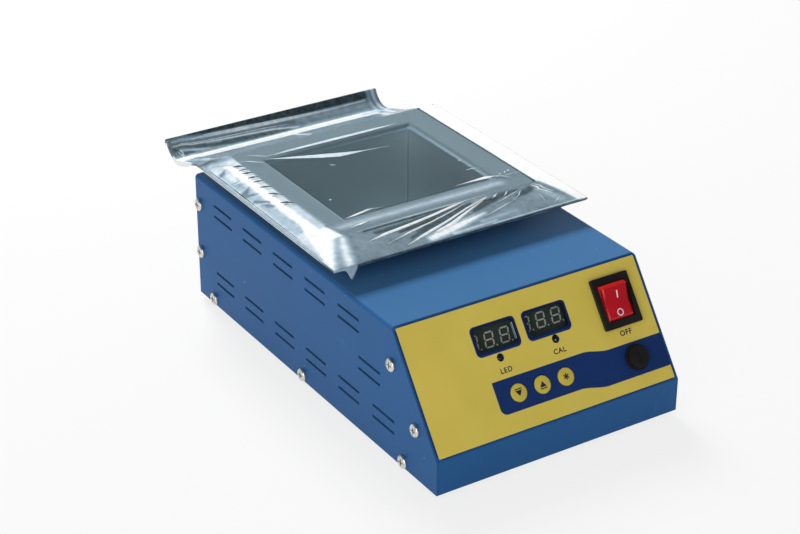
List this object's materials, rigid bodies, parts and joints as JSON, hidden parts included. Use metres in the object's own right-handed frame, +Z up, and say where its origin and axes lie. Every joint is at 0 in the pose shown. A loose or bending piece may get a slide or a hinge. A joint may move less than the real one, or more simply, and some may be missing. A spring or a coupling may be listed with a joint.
{
  "type": "solder pot",
  "caption": "Bench solder pot: a blue louvred steel case with a sloping control panel carries a square titanium bath in a splash plate under clear film.",
  "frame": {"origin": "centre of the bounding box, on the bench surface under the feet", "axes": "+Z up; the control panel faces -Y; +X is the right-hand side seen from the front, where the mains switch is"},
  "size_m": [0.1732, 0.3028, 0.1023],
  "materials": {
    "powder_blue": "blue powder coat, satin with a fine grain",
    "titanium": "grey titanium sheet, dull satin",
    "stainless": "stainless sheet, satin",
    "nickel_steel": "bright nickel plate",
    "clear_film": "clear creased polythene film",
    "black_rubber": "matt black",
    "mica": "mica sheet, amber",
    "ceramic_fibre": "pressed ceramic fibre board",
    "brass": "plain",
    "label_print": "printed yellow and blue overlay, satin",
    "smoked_window": "smoked blue-black acrylic",
    "led_lens": "dark red lens, unlit",
    "blue_plastic": "moulded",
    "key_yellow": "printed yellow",
    "black_plastic": "moulded black, satin",
    "board_green": "solder mask",
    "rocker_red": "translucent red",
    "fuse_glass": "clear glass tube",
    "core_steel": "varnished laminations and winding",
    "aluminium": "extruded, plain",
    "terminal_green": "moulded",
    "grey_cable": "flat cable"
  },
  "bodies": {
    "case": {"cover_shell": "powder_blue", "front_panel": "powder_blue", "rear_panel": "powder_blue", "base_plate": "powder_blue", "cover_screws": "nickel_steel", "base_screws": "nickel_steel", "feet": "black_rubber", "foot_screws": "nickel_steel", "foot_nuts": "nickel_steel", "solder_pot": "titanium", "splash_plate": "stainless", "plate_spacers": "nickel_steel", "flange_nuts": "nickel_steel", "heater_left": "mica", "heater_right": "mica", "heater_front": "mica", "heater_rear": "mica", "heater_bottom": "mica", "heater_strap": "stainless", "fibre_lining": "ceramic_fibre", "heat_shield": "stainless", "shield_screws": "nickel_steel", "thermocouple": "stainless", "thermocouple_nut": "brass", "front_label": "label_print", "window_left": "smoked_window", "window_right": "smoked_window", "display_left": "black_plastic", "display_right": "black_plastic", "indicator_led": "led_lens", "trimmer_body": "blue_plastic", "key_switches": "black_plastic", "control_board": "board_green", "board_standoffs": "nickel_steel", "board_screws": "nickel_steel", "switch_housing": "black_plastic", "switch_terminals": "brass", "fuse_holder": "black_plastic", "fuse_nut": "black_plastic", "power_board": "board_green", "power_standoffs": "nickel_steel", "transformer": "core_steel", "triac": "black_plastic", "heatsink": "aluminium", "terminal_block": "terminal_green", "ribbon_cable": "grey_cable", "earth_stud": "brass", "gland_body": "black_plastic", "gland_cap": "black_plastic", "gland_seal": "black_rubber", "gland_locknut": "black_plastic"},
    "rocker": {"switch_rocker": "rocker_red"},
    "key_down": {"key_down": "key_yellow"},
    "key_up": {"key_up": "key_yellow"},
    "key_set": {"key_set": "key_yellow"},
    "trimmer": {"trimmer_rotor": "brass"},
    "fuse_carrier": {"fuse_carrier": "black_plastic", "fuse_cartridge": "fuse_glass"},
    "fuse_knob": {"fuse_knob": "black_plastic"},
    "film": {"protective_film": "clear_film"}
  },
  "joints": [
    {"name": "rocker_press", "type": "hinge", "parent": "case", "child": "rocker", "pos_m": [0.0585, -0.12009, 0.06777], "axis": [-1, 0, 0], "range_deg": [0, 18]},
    {"name": "key_down_press", "type": "slide", "parent": "case", "child": "key_down", "axis": [0, 0.8022, -0.5971], "range_m": [0, 0.0006], "stiffness_N_per_m": 300, "springref_m": -0.0004},
    {"name": "key_up_press", "type": "slide", "parent": "case", "child": "key_up", "axis": [0, 0.8022, -0.5971], "range_m": [0, 0.0006], "stiffness_N_per_m": 300, "springref_m": -0.0004},
    {"name": "key_set_press", "type": "slide", "parent": "case", "child": "key_set", "axis": [0, 0.8022, -0.5971], "range_m": [0, 0.0006], "stiffness_N_per_m": 300, "springref_m": -0.0004},
    {"name": "trimmer_turn", "type": "hinge", "parent": "case", "child": "trimmer", "pos_m": [0.0132, -0.12537, 0.05967], "axis": [0, -0.8022, 0.5971], "range_deg": [-135, 135]},
    {"name": "fuse_withdraw", "type": "slide", "parent": "case", "child": "fuse_carrier", "axis": [0, -0.8022, 0.5971], "range_m": [0, 0.035]},
    {"name": "fuse_knob_turn", "type": "hinge", "parent": "fuse_carrier", "child": "fuse_knob", "pos_m": [0.0598, -0.13985, 0.04021], "axis": [0, -0.8022, 0.5971], "range_deg": [0, 90]},
    {"name": "film_lift", "type": "slide", "parent": "case", "child": "film", "axis": [0, 0, 1], "range_m": [0, 0.1]}
  ]
}
